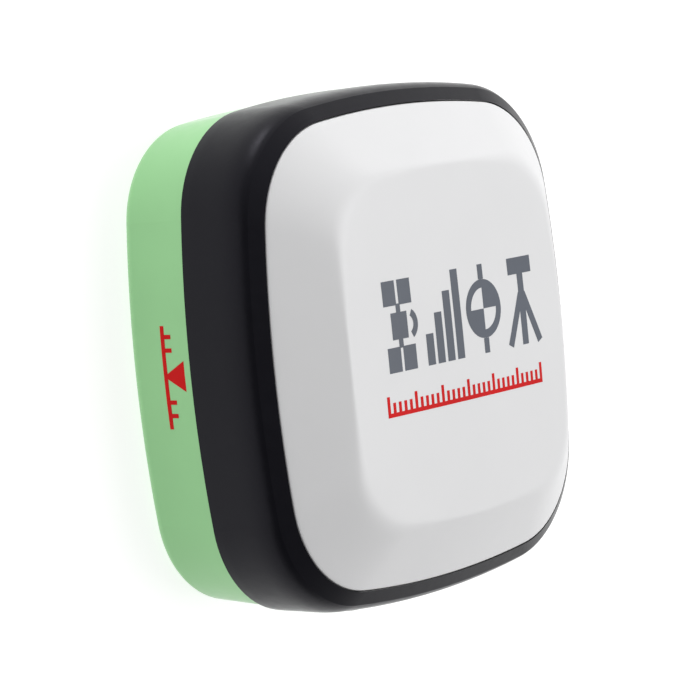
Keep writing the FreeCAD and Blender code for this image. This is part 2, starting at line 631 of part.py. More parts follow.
def make_housing_screws():
    """Four cap screws from below and the brass nuts that take them in the middle frame."""
    make_screws("housing_screws", ("post_place", "post_place"),
                ("cap_low", "head_bore_depth", "shank_top"),
                ("cap_radius", "shank_radius", "socket_radius", "socket_depth"))
    nuts = new_body("housing_inserts")
    ring = turned(nuts, "Ring", [
        ("nut_bore", "tongue_low"), ("nut_radius", "tongue_low"), ("nut_radius", "nut_top"),
        ("nut_bore", "nut_top")], "post_place", "post_place")
    around(nuts, [ring], 4)


def make_screws(label, place, heights, sizes):
    """Four cap screws about the boresight. heights are the cap's end, its seat and the tip."""
    cap_end, seat, tip = heights
    cap_radius, shank_radius, socket_radius, socket_depth = sizes
    points_up = number(tip) > number(seat)
    inside_tip = f"{tip} - tip_chamfer" if points_up else f"{tip} + tip_chamfer"
    socket_low = cap_end if points_up else f"{cap_end} - {socket_depth}"
    body = new_body(label)
    screw = turned(body, "Screw", [
        ("0", cap_end), (cap_radius, cap_end), (cap_radius, seat), (shank_radius, seat),
        (shank_radius, inside_tip), (f"{shank_radius} - tip_chamfer", tip), ("0", tip)], *place)
    socket = pocket(body, "Socket", "XY_Plane", socket_low, f"{socket_low} + {socket_depth}",
                    hexagon(*place, socket_radius))
    around(body, [screw, socket], 4)


def make_underside_trim():
    """Blank rating plate, and the vent plug with its membrane."""
    box("rating_plate", ("0 - plate_half", "plate_half"), ("plate_low", "plate_high"),
        ("plate_recess - plate_thick", "plate_recess"))
    vent = new_body("vent_plug")
    turned(vent, "Plug", [
        ("vent_bore", "vent_head_low"), ("vent_head", "vent_head_low"),
        ("vent_head", "vent_head_top"), ("vent_stem", "vent_head_top"),
        ("vent_stem", "vent_top"), ("vent_bore", "vent_top")], "0", "vent_y")
    cylinder("vent_membrane", "0", "vent_y", "vent_top", "vent_top + membrane_thick",
             "membrane_radius")


# ---- console --------------------------------------------------------------------------------

def make_control_panel():
    """Flat fascia with openings for the port cover, the three lights and the button."""
    body = new_body("control_panel")
    pad(body, "Plate", "XZ_Plane", "console_face", "console_face + panel_thick", console_outline())
    pocket(body, "PortOpening", "XZ_Plane", "console_face - 1", "console_face + panel_thick + 1",
           rectangle("port_x - cover_half - cover_gap", "cover_room_low",
                     "port_x + cover_half + cover_gap", "cover_high + cover_gap"))
    pocket(body, "ButtonHole", "XZ_Plane", "console_face - 1", "console_face + panel_thick + 1",
           circle("button_x", "button_z", "button_radius + button_gap"))
    hole = pocket(body, "LightHole", "XZ_Plane", "console_face - 1",
                  "console_face + panel_thick + 1",
                  circle("light_x", "button_z", "pipe_radius + pipe_gap"))
    in_row(body, [hole], "light_pitch", "light_count")


def make_port_frame():
    """Liner of the plug's recess, with a back wall around the socket and two hinge ears."""
    body = new_body("port_frame")
    pad(body, "Liner", "XZ_Plane", "liner_back", "console_face",
        port_rectangle("mouth_half_x + liner_wall", "mouth_half_z + liner_wall"))
    pocket(body, "Mouth", "XZ_Plane", "mouth_end", "console_face + 1",
           mouth_outline("0", "mouth_round"))
    pad(body, "Ears", "XZ_Plane", "ear_back", "ear_face",
        rectangle("port_x - cover_half", "ear_low", "port_x - ear_inner", "ear_high"),
        rectangle("port_x + ear_inner", "ear_low", "port_x + cover_half", "ear_high"))
    pocket(body, "KnuckleRoom", "XZ_Plane", "relief_back", "ear_face + 1",
           rectangle("port_x - ear_inner", "cover_room_low", "port_x + ear_inner", "relief_high"))
    pocket(body, "PinHole", "YZ_Plane", "port_x - cover_half - 1", "port_x + cover_half + 1",
           circle("0 - hinge_y", "hinge_z", "pin_radius + insert_gap"))
    pocket(body, "SocketSlot", "XZ_Plane", "liner_back - 1", "mouth_end + 1",
           port_rectangle("socket_half_x + socket_room", "socket_half_z + socket_room"))


def mouth_outline(inset, radius):
    """The outline of the plug's recess, or one set in from it."""
    half_x = f"mouth_half_x - ({inset})"
    half_z = f"mouth_half_z - ({inset})"
    return rounded_rectangle(f"port_x - ({half_x})", f"port_z - ({half_z})",
                             f"port_x + {half_x}", f"port_z + {half_z}", radius)


def port_rectangle(half_x, half_z):
    """A rectangle centred on the charging port."""
    return rectangle(f"port_x - ({half_x})", f"port_z - ({half_z})",
                     f"port_x + {half_x}", f"port_z + {half_z}")


def make_usb_socket():
    """USB-C receptacle: a rounded metal shell with the contact tongue inside."""
    body = new_body("usb_socket")
    back = "mouth_end - socket_long"
    pad(body, "Shell", "XZ_Plane", back, "mouth_end", socket_outline("0"))
    pocket(body, "Opening", "XZ_Plane", "mouth_end - socket_deep", "mouth_end + 1",
           socket_outline("socket_wall"))
    pad(body, "Contacts", "XZ_Plane", "mouth_end - socket_deep - socket_wall",
        "mouth_end - contact_short", port_rectangle("contact_half_x", "contact_half_z"))


def socket_outline(inset):
    """The socket's outline, with nearly half-round ends."""
    half_x = f"socket_half_x - {inset}"
    half_z = f"socket_half_z - {inset}"
    return rounded_rectangle(f"port_x - ({half_x})", f"port_z - ({half_z})",
                             f"port_x + {half_x}", f"port_z + {half_z}",
                             f"({half_z}) * socket_end_share")


def make_port_cover():
    """Hinged cover: a plate over the port, a knuckle at its lower edge and a finger grip."""
    body = new_body("port_cover")
    left, right = "port_x - {}", "port_x + {}"
    pad(body, "Plate", "XZ_Plane", "hinge_y", "console_face + panel_thick", polygon(
        (left.format("knuckle_half"), "hinge_z"), (right.format("knuckle_half"), "hinge_z"),
        (right.format("knuckle_half"), "cover_low"), (right.format("cover_half"), "cover_low"),
        (right.format("cover_half"), "cover_high"), (left.format("cover_half"), "cover_high"),
        (left.format("cover_half"), "cover_low"), (left.format("knuckle_half"), "cover_low")))
    pad(body, "Knuckle", "YZ_Plane", left.format("knuckle_half"), right.format("knuckle_half"),
        circle("0 - hinge_y", "hinge_z", "knuckle_radius"))
    pad(body, "Grip", "XZ_Plane", "hinge_y + panel_thick / 2",
        "console_face + panel_thick + grip_proud",
        rectangle(left.format("grip_half"), "grip_low", right.format("grip_half"), "grip_high"))
    pocket(body, "PinBore", "YZ_Plane", left.format("cover_half"), right.format("cover_half"),
           circle("0 - hinge_y", "hinge_z", "pin_radius + pin_gap"))
    pin = new_body("port_cover_pin")
    pad(pin, "Pin", "YZ_Plane", left.format("pin_half"), right.format("pin_half"),
        circle("0 - hinge_y", "hinge_z", "pin_radius"))
    seal = new_body("port_cover_seal")
    inner_edge = "seal_inset + seal_width"
    pad(seal, "Frame", "XZ_Plane", "hinge_y - seal_thick", "hinge_y",
        mouth_outline("seal_inset", "mouth_round"), mouth_outline(inner_edge, "mouth_round / 2"))


def make_power_button():
    """Domed button with a retaining flange and a stem, its seal, and the switch behind it."""
    body = new_body("power_button")
    pad(body, "Flange", "XZ_Plane", "button_flange_low", "button_flange_high",
        circle("button_x", "button_z", "button_flange"))
    cap = pad(body, "Cap", "XZ_Plane", "button_flange_low", "button_face",
              circle("button_x", "button_z", "button_radius"))
    face_y = -number("button_face")
    rim = [f"Edge{i}" for i, edge in enumerate(cap.Shape.Edges, 1)
           if all(abs(vertex.Y - face_y) < 1e-4 for vertex in edge.Vertexes)]
    fillet(body, "CapEdge", cap, rim, "cover_round")
    pocket(body, "Dish", "XZ_Plane", "button_face - button_dish", "button_face + 1",
           circle("button_x", "button_z", "dish_radius"))
    pad(body, "Stem", "XZ_Plane", "stem_low", "button_flange_low",
        circle("button_x", "button_z", "stem_radius"))
    seal = new_body("button_seal")
    pad(seal, "Ring", "XZ_Plane", "console_face - button_seal_thick", "console_face",
        circle("button_x", "button_z", "button_seal_out"),
        circle("button_x", "button_z", "button_seal_in"))
    make_switch()


def make_switch():
    """Push switch on the console's board: a fixed case and a plunger that the button moves."""
    case = new_body("switch_body")
    pad(case, "Case", "XZ_Plane", "side_board_face", "side_board_face + switch_high",
        rectangle("button_x - switch_half", "button_z - switch_half",
                  "button_x + switch_half", "button_z + switch_half"))
    pocket(case, "Guide", "XZ_Plane", "plunger_room", "side_board_face + switch_high + 1",
           circle("button_x", "button_z", "stem_radius + plunger_gap"))
    plunger = new_body("switch_plunger")
    pad(plunger, "Plunger", "XZ_Plane", "plunger_end", "stem_low",
        circle("button_x", "button_z", "stem_radius"))


def make_status_lights():
    """Three light pipes through the console and the LED behind each."""
    pipes = new_body("light_pipes")
    pipe = pad(pipes, "Pipe", "XZ_Plane", "pipe_end", "pipe_face",
               circle("light_x", "button_z", "pipe_radius"))
    in_row(pipes, [pipe], "light_pitch", "light_count")
    leds = new_body("status_leds")
    led = pad(leds, "Led", "XZ_Plane", "side_board_face", "side_board_face + led_high",
              rectangle("light_x - led_half_x", "button_z - led_half_z",
                        "light_x + led_half_x", "button_z + led_half_z"))
    in_row(leds, [led], "light_pitch", "light_count")


def make_button_board():
    """Upright board behind the console, and the flat cable to the main board."""
    board_back = "side_board_face - side_board_thick"
    box("button_board", ("side_board_left", "side_board_right"),
        ("0 - side_board_face", f"0 - ({board_back})"), ("side_board_low", "side_board_high"))
    flex = new_body("button_flex")
    near = f"0 - ({board_back})"
    inner = "0 - flex_inner"
    outer = "0 - flex_inner - flex_thick"
    low = "board_low + board_thick + flex_plug_high"
    below = "flex_high - flex_thick"
    pad(flex, "Ribbon", "YZ_Plane", "flex_left", "flex_right", polygon(
        (near, "flex_high"), (inner, "flex_high"), (inner, low), (outer, low), (outer, below),
        (near, below)))


# ---- electronics ----------------------------------------------------------------------------

def make_main_board():
    """Main circuit board, notched round the screw bosses and the console, on four standoffs."""
    board = new_body("main_board")
    top = "board_low + board_thick"
    pad(board, "Board", "XY_Plane", "board_low", top, bulged_square("board_half", "board_corner"))
    pocket(board, "ConsoleNotch", "XY_Plane", "board_low - 1", f"{top} + 1",
           rectangle("edge_notch_left", "0 - beyond_all", "edge_notch_right", "edge_notch_y"))
    pocket(board, "DeepNotch", "XY_Plane", "board_low - 1", f"{top} + 1",
           rectangle("deep_notch_left", "0 - beyond_all", "edge_notch_right", "deep_notch_y"))
    pocket(board, "LeadHole", "XY_Plane", "board_low - 1", f"{top} + 1",
           circle("lead_x", "lead_y", "lead_hole"))
    notch = pocket(board, "BossNotch", "XY_Plane", "board_low - 1", f"{top} + 1",
                   circle("post_place", "post_place", "board_notch"))
    hole = pocket(board, "ScrewHole", "XY_Plane", "board_low - 1", f"{top} + 1",
                  circle("standoff_x", "standoff_y", "small_hole"))
    around(board, [notch, hole], 4)
    standoffs = new_body("board_standoffs")
    post = pad(standoffs, "Post", "XY_Plane", "floor_thick", "board_low",
               hexagon("standoff_x", "standoff_y", "standoff_radius"))
    bore = pocket(standoffs, "Bore", "XY_Plane", "board_low - pilot_depth", "board_low + 1",
                  circle("standoff_x", "standoff_y", "standoff_bore"))
    around(standoffs, [post, bore], 4)
    make_screws("board_screws", ("standoff_x", "standoff_y"),
                (f"{top} + small_cap_high", top, "board_low - board_screw_reach"),
                ("small_cap", "small_shank", "small_socket", "small_socket_depth"))


def make_board_parts():
    """The larger components on the main board."""
    on_board = "board_low + board_thick"
    can = new_body("gnss_shield")
    pad(can, "Can", "XY_Plane", on_board, f"{on_board} + can_high",
        rounded_rectangle("can_left", "can_near", "can_right", "can_far", "can_round"))
    pocket(can, "Inside", "XY_Plane", on_board, f"{on_board} + can_high - can_wall",
           rounded_rectangle("can_left + can_wall", "can_near + can_wall", "can_right - can_wall",
                             "can_far - can_wall", "can_round - can_wall"))
    box("processor", ("processor_left", "processor_right"), ("processor_near", "processor_far"),
        (on_board, f"{on_board} + processor_high"))
    box("radio_module", ("radio_left", "radio_right"), ("radio_near", "radio_far"),
        (on_board, f"{on_board} + radio_high"))
    box("bluetooth_antenna", ("0 - chip_half", "chip_half"), ("chip_near", "chip_far"),
        (on_board, f"{on_board} + chip_high"))
    box("battery_connector", ("lead_plug_left", "lead_plug_right"),
        ("lead_y - lead_plug_half", "lead_y + lead_plug_half"),
        (on_board, f"{on_board} + lead_plug_high"))
    box("flex_connector", ("flex_plug_left", "flex_plug_right"), ("flex_plug_near", "flex_plug_far"),
        (on_board, f"{on_board} + flex_plug_high"))


def make_battery():
    """Two cells on a cradle around the pole boss, each held down by a strap."""
    cells = new_body("battery_cells")
    can = pad(cells, "Can", "XZ_Plane", "0 - cell_half", "cell_half",
              circle("cell_x", "cell_z", "cell_radius"))
    tip = pad(cells, "Terminal", "XZ_Plane", "cell_half", "cell_half + terminal_high",
              circle("cell_x", "cell_z", "terminal_radius"))
    around(cells, [can, tip], 2)
    cradle = new_body("battery_cradle")
    pad(cradle, "Plate", "XY_Plane", "floor_thick", "floor_thick + cradle_plate",
        rectangle("0 - cradle_half_x", "0 - cradle_half_y", "cradle_half_x", "cradle_half_y"))
    saddle = pad(cradle, "Saddle", "XY_Plane", "floor_thick", "cradle_high",
                 rectangle("cell_x - saddle_half", "0 - cradle_half_y",
                           "cell_x + saddle_half", "cradle_half_y"))
    trough = pocket(cradle, "Trough", "XZ_Plane", "0 - beyond_all", "beyond_all",
                    circle("cell_x", "cell_z", "cell_radius + cell_gap"))
    around(cradle, [saddle, trough], 2)
    pocket(cradle, "BossHole", "XY_Plane", "0", "cell_z", circle("0", "0", "cradle_hole"))
    straps = new_body("battery_straps")
    inside = "cell_radius + cell_gap"
    band = pad(straps, "Band", "XZ_Plane", "0 - strap_half", "strap_half",
               circle("cell_x", "cell_z", f"{inside} + strap_thick"),
               circle("cell_x", "cell_z", inside))
    gap = pocket(straps, "Gap", "XZ_Plane", "0 - strap_half - 1", "strap_half + 1",
                 rectangle(f"cell_x - ({inside}) - 1", "0", f"cell_x + {inside} + 1", "strap_low"))
    around(straps, [band, gap], 2)


def make_tube(label, radius, bend, route):
    """A cable along straight runs joined by tangent arcs, from a list of corner points."""
    points = [V(*(number(place) for place in point)) for point in route]
    bend_radius = number(bend)
    edges = []
    start = points[0]
    for before, corner, after in zip(points, points[1:], points[2:]):
        towards = (corner - before).normalize()
        away = (after - corner).normalize()
        enter = corner - towards * bend_radius
        leave = corner + away * bend_radius
        middle = corner + (away - towards).normalize() * (bend_radius * (math.sqrt(2) - 1))
        edges.append(Part.LineSegment(start, enter).toShape())
        edges.append(Part.Arc(enter, middle, leave).toShape())
        start = leave
    edges.append(Part.LineSegment(start, points[-1]).toShape())
    path = Part.Wire(edges)
    outline = Part.Circle(points[0], points[1] - points[0], number(radius))
    section = Part.Wire(outline.toShape())
    cable = DOC.addObject("Part::Feature", label)
    cable.Label = label
    cable.Shape = path.makePipeShell([section], True, True)
    cable.Placement = FreeCAD.Placement()
    PARTS.append(cable)


def make_cables():
    """The battery lead and the antenna's coaxial cable, both with square turns."""
    on_board = "board_low + board_thick"
    lead_high = f"{on_board} + lead_high"
    make_tube("battery_lead", "lead_radius", "lead_bend", [
        ("cradle_half_x", "lead_y", "lead_low"), ("lead_x", "lead_y", "lead_low"),
        ("lead_x", "lead_y", lead_high), ("lead_plug_right", "lead_y", lead_high)])
    coax_high = "chassis_low - antenna_board_thick - coax_drop"
    make_tube("antenna_coax", "coax_radius", "coax_bend", [
        ("shield_half", "coax_y", coax_high), ("coax_x", "coax_y", coax_high),
        ("coax_x", "coax_y", on_board)])


# ---- antenna --------------------------------------------------------------------------------

def feed_places(x):
    """A pair of feed positions a quarter turn apart."""
    return ((x, "0"), ("0", x))


def make_antenna():
    """Ground-plane chassis, two stacked ceramic patches, their feeds and the amplifier board."""
    chassis_top = "chassis_low + chassis_thick"
    lower_top = f"{chassis_top} + lower_patch_thick"
    upper_top = f"{lower_top} + upper_patch_thick"
    board_low = "chassis_low - antenna_board_thick"
    feeds = feed_places("upper_feed_x") + feed_places("lower_feed_x")

    chassis = new_body("antenna_chassis")
    pad(chassis, "Plate", "XY_Plane", "chassis_low", chassis_top,
        bulged_square("chassis_half", "chassis_corner"))
    pocket(chassis, "FeedSlots", "XY_Plane", "chassis_low - 1", f"{chassis_top} + 1",
           *(circle(x, y, "feed_slot") for x, y in feeds))
    holes = [pocket(chassis, name, "XY_Plane", "chassis_low - 1", f"{chassis_top} + 1",
                    circle(x, y, "small_hole"))
             for name, x, y in (("FrameHole", "post_place", "post_place"),
                                ("RadomeHole", "radome_boss_x", "radome_boss_y"))]
    around(chassis, holes, 4)

    for label, low, high, half, places in (
            ("lower_patch", chassis_top, lower_top, "lower_patch_half", feeds),
            ("upper_patch", lower_top, upper_top, "upper_patch_half", feeds[:2])):
        patch = new_body(label)
        pad(patch, "Tile", "XY_Plane", low, high,
            rounded_rectangle(f"0 - {half}", f"0 - {half}", half, half, "patch_round"))
        pocket(patch, "FeedHoles", "XY_Plane", f"{low} - 1", f"{high} + 1",
               *(circle(x, y, "feed_hole") for x, y in places))

    pins = new_body("feed_pins")
    for i, (x, y) in enumerate(feeds):
        top = upper_top if i < 2 else lower_top
        pad(pins, f"Pin{i}", "XY_Plane", "chassis_low", top, circle(x, y, "feed_radius"))
        pad(pins, f"Head{i}", "XY_Plane", top, f"{top} + feed_head_thick", circle(x, y, "feed_head"))

    board = new_body("antenna_board")
    pad(board, "Board", "XY_Plane", board_low, "chassis_low",
        rounded_rectangle("0 - antenna_board_half", "0 - antenna_board_half",
                          "antenna_board_half", "antenna_board_half", "patch_round"))
    shield = new_body("antenna_shield")
    shield_low = f"{board_low} - shield_high"
    pad(shield, "Can", "XY_Plane", shield_low, board_low,
        rounded_rectangle("0 - shield_half", "0 - shield_half", "shield_half", "shield_half",
                          "patch_round"))
    inner = "shield_half - shield_wall"
    pocket(shield, "Inside", "XY_Plane", f"{shield_low} + shield_wall", board_low,
           rounded_rectangle(f"0 - ({inner})", f"0 - ({inner})", inner, inner,
                             "patch_round - shield_wall"))
    make_screws("chassis_screws", ("post_place", "post_place"),
                (f"{chassis_top} + small_cap_high", chassis_top, "chassis_low - chassis_screw_reach"),
                ("small_cap", "small_shank", "small_socket", "small_socket_depth"))
    make_screws("radome_screws", ("radome_boss_x", "radome_boss_y"),
                ("chassis_low - small_cap_high", "chassis_low", "chassis_low + chassis_screw_reach"),
                ("small_cap", "small_shank", "small_socket", "small_socket_depth"))


# ---- checks and files -----------------------------------------------------------------------

def check_document():
    """Stop if any object failed or any sub-part has no valid shape."""
    for thing in DOC.Objects:
        if "Invalid" in thing.State or "Error" in thing.State:
            raise RuntimeError(f"{thing.Label} failed: {thing.State}")
    for part in PARTS:
        if part.Shape.isNull() or not part.Shape.isValid() or part.Shape.Volume <= 0:
            raise RuntimeError(f"{part.Label} has no valid shape")


def write_parts():
    """Write each sub-part's shape under its own name."""
    os.makedirs("parts", exist_ok=True)
    for part in PARTS:
        part.Shape.exportStep(f"parts/{part.Label}.step")
        print(part.Label, len(part.Shape.Solids), round(part.Shape.Volume, 1))


fill_sheet()
make_base_housing()
make_bumper_band()
make_mid_frame()
make_radome()
make_gaskets()
make_thread_insert()
make_housing_screws()
make_underside_trim()
make_control_panel()
make_port_frame()
make_usb_socket()
make_port_cover()
make_power_button()
make_status_lights()
make_button_board()
make_main_board()
make_board_parts()
make_battery()
make_cables()
make_antenna()
DOC.recompute()
check_document()
write_parts()
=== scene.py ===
"""The look of a palm-sized GNSS antenna: its finishes, moulded cap, printed marks, light and camera.

Lengths are in metres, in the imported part's own frame: +Z up, -Y towards the console.
"""

import json
import math

import bmesh
import bpy
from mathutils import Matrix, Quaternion, Vector


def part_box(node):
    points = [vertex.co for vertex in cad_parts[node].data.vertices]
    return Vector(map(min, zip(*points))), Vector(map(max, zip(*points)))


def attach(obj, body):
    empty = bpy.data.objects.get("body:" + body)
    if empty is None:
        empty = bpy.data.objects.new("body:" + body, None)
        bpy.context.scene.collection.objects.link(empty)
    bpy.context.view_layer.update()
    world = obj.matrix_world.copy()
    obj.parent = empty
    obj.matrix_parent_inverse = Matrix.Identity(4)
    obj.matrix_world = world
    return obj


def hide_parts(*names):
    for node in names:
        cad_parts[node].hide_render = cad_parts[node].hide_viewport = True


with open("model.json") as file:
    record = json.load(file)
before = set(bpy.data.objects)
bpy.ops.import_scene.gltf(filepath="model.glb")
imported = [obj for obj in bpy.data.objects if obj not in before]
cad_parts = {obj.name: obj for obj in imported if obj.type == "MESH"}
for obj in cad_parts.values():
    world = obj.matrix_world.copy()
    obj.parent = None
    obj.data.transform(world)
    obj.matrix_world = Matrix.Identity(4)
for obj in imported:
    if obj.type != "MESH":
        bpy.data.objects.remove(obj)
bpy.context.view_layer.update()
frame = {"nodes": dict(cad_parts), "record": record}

MM = 0.001
SCENE = bpy.context.scene
UP, LEFT, FRONT = Vector((0, 0, 1)), Vector((-1, 0, 0)), Vector((0, -1, 0))
QUARTER = math.pi / 2

# The receiver's outline: four bulged sides joined by four corner arcs.
BULGE_OFFSET = 200.5 * MM       # from the middle to the centre of the opposite side's arc
CELLS = 22                      # grid cells from the middle of the cap to its edge
CORNER_SHARE = 10 / (2 * CELLS)  # share of a quarter turn given to each half corner

# The white cap, by its own outlines.
RIM_LOW, RIM_TOP = 35.8 * MM, 37.4 * MM
RIM_HALF, RIM_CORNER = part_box("radome")[1].x, 22.95 * MM
PEAK_HIGH, PEAK_HALF, PEAK_CORNER = 49.0 * MM, 34.17 * MM, 12.9 * MM
DOME_TOP, DOME_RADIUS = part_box("radome")[1].z, 777 * MM
RIM_ROUNDING = ((-0.30, 0.0), (-0.10, 0.05), (0.06, 0.14))  # mm above the rim's top, mm inwards
SLOPE_STEPS = (0.03, 0.15, 0.3, 0.45, 0.58, 0.67, 0.72, 0.75, 0.77, 0.785, 0.8, 0.815, 0.83,
               0.85, 0.88, 0.94, 1.0)
CREASE_AT_SIDES, CREASE_AT_CORNERS = 0.3 * MM, 1.6 * MM     # how far the crease is blended
SPIGOT_LOW, SPIGOT_HALF, SPIGOT_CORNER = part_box("radome")[0].z, 48.1 * MM, 19.6 * MM
HOLLOW_TURN, HOLLOW_HALF, HOLLOW_CORNER = 37.5 * MM, 46.9 * MM, 18.4 * MM
CEILING, CEILING_HALF, CEILING_CORNER = 44.9 * MM, 36.5 * MM, 14.0 * MM
BOSS_X, BOSS_Y, BOSS_RADIUS, BOSS_BORE = 43.5 * MM, 13.0 * MM, 2.6 * MM, 1.15 * MM
BOSS_LOW, BOSS_TOP = 33.2 * MM, 40.0 * MM

# The green base's side, which carries a printed mark.
BASE_HALF, BASE_DRAFT = 52.7 * MM, math.radians(4.58)


def middle_mm(node):
    """The middle of a CAD node's box, in millimetres."""
    low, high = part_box(node)
    return (low + high) / 2 / MM


# The console's faces, in y, and the middles of what it carries, in millimetres.
CONSOLE_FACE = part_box("control_panel")[0].y
BUTTON_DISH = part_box("power_button")[0].y + 0.25 * MM
BUTTON_MIDDLE, LIGHTS_MIDDLE, COVER_MIDDLE = (middle_mm(node) for node in (
    "power_button", "light_pipes", "port_cover"))
LIGHT_PITCH = 4.5               # mm between the lights
ICON_PLACES = (-21.1, -6.5, 8.0, 22.5)  # mm, the middles of the cap's pictograms in x
ICON_MIDDLE, ICON_HALF = 5.5, 9.5       # mm, their middle in y and half their height
LIGHT_MARK_RISE, COVER_MARK_RISE = 3.2, 0.45    # mm, how far the marks stand above those middles

# The printed marks: how far the ink stands out of the surface and how far it is let in.
INK_PROUD, INK_SUNK = 0.03 * MM, 0.12 * MM

# The thread in the brass insert, for the pole's 5/8 inch stud with 11 turns to the inch.
THREAD_PITCH, THREAD_LOW, THREAD_TOP = 25.4 / 11 * MM, 1.9 * MM, 15.4 * MM
THREAD_WALL, THREAD_CREST = 8.05 * MM, 6.95 * MM
THREAD_ROOT_HALF, THREAD_CREST_HALF = 1.0 * MM, 0.16 * MM
THREAD_STEPS = 40               # steps of the helix in each turn


# ---- node helpers ---------------------------------------------------------------------------

def new_material(name):
    """A material, its node tree and its main shader."""
    material = bpy.data.materials.new(name)
    material.use_nodes = True
    tree = material.node_tree
    return material, tree, shader(material)


def noise(tree, size, detail=2.0, stretch=(1, 1, 1)):
    """Cloudy noise in the object's own space, with blotches about that many metres across."""
    place = tree.nodes.new("ShaderNodeTexCoord")
    scaling = tree.nodes.new("ShaderNodeMapping")
    scaling.inputs["Scale"].default_value = stretch
    cloud = tree.nodes.new("ShaderNodeTexNoise")
    cloud.inputs["Scale"].default_value = 1 / size
    cloud.inputs["Detail"].default_value = detail
    tree.links.new(place.outputs["Object"], scaling.inputs["Vector"])
    tree.links.new(scaling.outputs["Vector"], cloud.inputs["Vector"])
    return cloud.outputs["Fac"]


def two_tone(tree, source, dark, light):
    """Run from one colour to another where the source goes from 0.35 to 0.65."""
    ramp = tree.nodes.new("ShaderNodeValToRGB")
    for stop, position, colour in zip(ramp.color_ramp.elements, (0.35, 0.65), (dark, light)):
        stop.position = position
        stop.color = (*colour, 1)
    tree.links.new(source, ramp.inputs["Fac"])
    return ramp.outputs["Color"]


def ranged(tree, source, start, end, low, high):
    """Turn the source's range from start to end into the range from low to high."""
    mapping = tree.nodes.new("ShaderNodeMapRange")
    mapping.inputs["From Min"].default_value = start
    mapping.inputs["From Max"].default_value = end
    mapping.inputs["To Min"].default_value = low
    mapping.inputs["To Max"].default_value = high
    tree.links.new(source, mapping.inputs["Value"])
    return mapping.outputs["Result"]


def spread(tree, source, low, high):
    """Turn a source of about 0.3 to 0.7 into the range from low to high."""
    return ranged(tree, source, 0.3, 0.7, low, high)


def relief(tree, surface, *layers):
    """Give the shader a bump of one or more (source, depth in metres) layers."""
    below = None
    for source, depth in layers:
        bump = tree.nodes.new("ShaderNodeBump")
        bump.inputs["Distance"].default_value = depth
        tree.links.new(source, bump.inputs["Height"])
        if below is not None:
            tree.links.new(below, bump.inputs["Normal"])
        below = bump.outputs["Normal"]
    tree.links.new(below, surface.inputs["Normal"])


def shade(colour, factor):
    """The colour made darker or lighter."""
    return tuple(min(1.0, channel * factor) for channel in colour)


def moulded(name, colour, roughness, grain=0.5 * MM, depth=0.004 * MM, vary=0.04):
    """Moulded plastic or rubber: a faint mottle, uneven gloss and a fine grain."""
    material, tree, surface = new_material(name)
    mottle = noise(tree, 18 * MM, detail=3)
    fine = noise(tree, grain, detail=1.5)
    wave = noise(tree, 2.5 * MM)
    tint = two_tone(tree, mottle, shade(colour, 1 - vary), shade(colour, 1 + vary))
    tree.links.new(tint, surface.inputs["Base Color"])
    gloss = spread(tree, wave, roughness * 0.93, roughness * 1.07)
    tree.links.new(gloss, surface.inputs["Roughness"])
    relief(tree, surface, (wave, depth / 2), (fine, depth))
    return material


def metal(name, colour, roughness, brush=(1, 1, 1), depth=0.002 * MM):
    """Bare metal with brushed or cast texture; brush squeezes the texture along each axis."""
    material, tree, surface = new_material(name)
    surface.inputs["Metallic"].default_value = 1.0
    lines = noise(tree, 0.35 * MM, stretch=brush)
    patina = noise(tree, 6 * MM, detail=4)
    tint = two_tone(tree, patina, shade(colour, 0.9), colour)
    tree.links.new(tint, surface.inputs["Base Color"])
    gloss = spread(tree, lines, roughness * 0.75, roughness * 1.25)
    tree.links.new(gloss, surface.inputs["Roughness"])
    relief(tree, surface, (lines, depth))
    return material


def shader(material):
    """A material's main shader."""
    return material.node_tree.nodes["Principled BSDF"]


def glossy(material, coat, roughness):
    """Add a clear coat to a material."""
    shader(material).inputs["Coat Weight"].default_value = coat
    shader(material).inputs["Coat Roughness"].default_value = roughness
    return material


def dull(material, level):
    """Make a material reflect less; 0.5 is the usual level."""
    shader(material).inputs["Specular IOR Level"].default_value = level
    return material


def dusty(material, weight, roughness):
    """Add the pale bloom that a fine matte grain shows at a grazing angle."""
    shader(material).inputs["Sheen Weight"].default_value = weight
    shader(material).inputs["Sheen Roughness"].default_value = roughness
    return material


# ---- finishes, one for each of the record's material slots ------------------------------------

def housing_green():
    finish = moulded("housing_green", (0.30, 0.63, 0.28), 0.36, depth=0.003 * MM, vary=0.02)
    return dusty(finish, 0.9, 0.15)


def bumper_rubber():
    finish = moulded("bumper_rubber", (0.0015, 0.0015, 0.003), 0.36, 0.45 * MM, 0.010 * MM, 0.08)
    shader(finish).inputs["Specular Tint"].default_value = (0.88, 0.86, 1, 1)
    return dusty(dull(finish, 0.20), 0.4, 0.2)


def radome_white():
    return moulded("radome_white", (0.71, 0.71, 0.717), 0.40, 0.6 * MM, 0.002 * MM, 0.008)


def frame_black():
    return moulded("frame_black", (0.02, 0.02, 0.022), 0.5, 0.3 * MM, 0.006 * MM, 0.1)


def seal_rubber():
    return moulded("seal_rubber", (0.03, 0.03, 0.032), 0.7, 0.3 * MM, 0.004 * MM, 0.1)


def insert_brass():
    return metal("insert_brass", (0.72, 0.52, 0.22), 0.28, (1, 1, 8))


def screw_steel():
    return metal("screw_steel", (0.50, 0.50, 0.52), 0.25, (1, 1, 6))


def plate_aluminium():
    return metal("plate_aluminium", (0.62, 0.63, 0.65), 0.35, (0.05, 6, 1))


def vent_plastic():
    return moulded("vent_plastic", (0.08, 0.08, 0.085), 0.5, 0.3 * MM, 0.005 * MM)


def vent_film():
    return moulded("vent_film", (0.80, 0.80, 0.80), 0.8, 0.15 * MM, 0.01 * MM)


def panel_gloss():
    return dull(moulded("panel_gloss", (0.010, 0.010, 0.012), 0.30, vary=0.2), 0.35)


def button_red():
    return moulded("button_red", (0.55, 0.02, 0.02), 0.4, 0.3 * MM, 0.004 * MM)


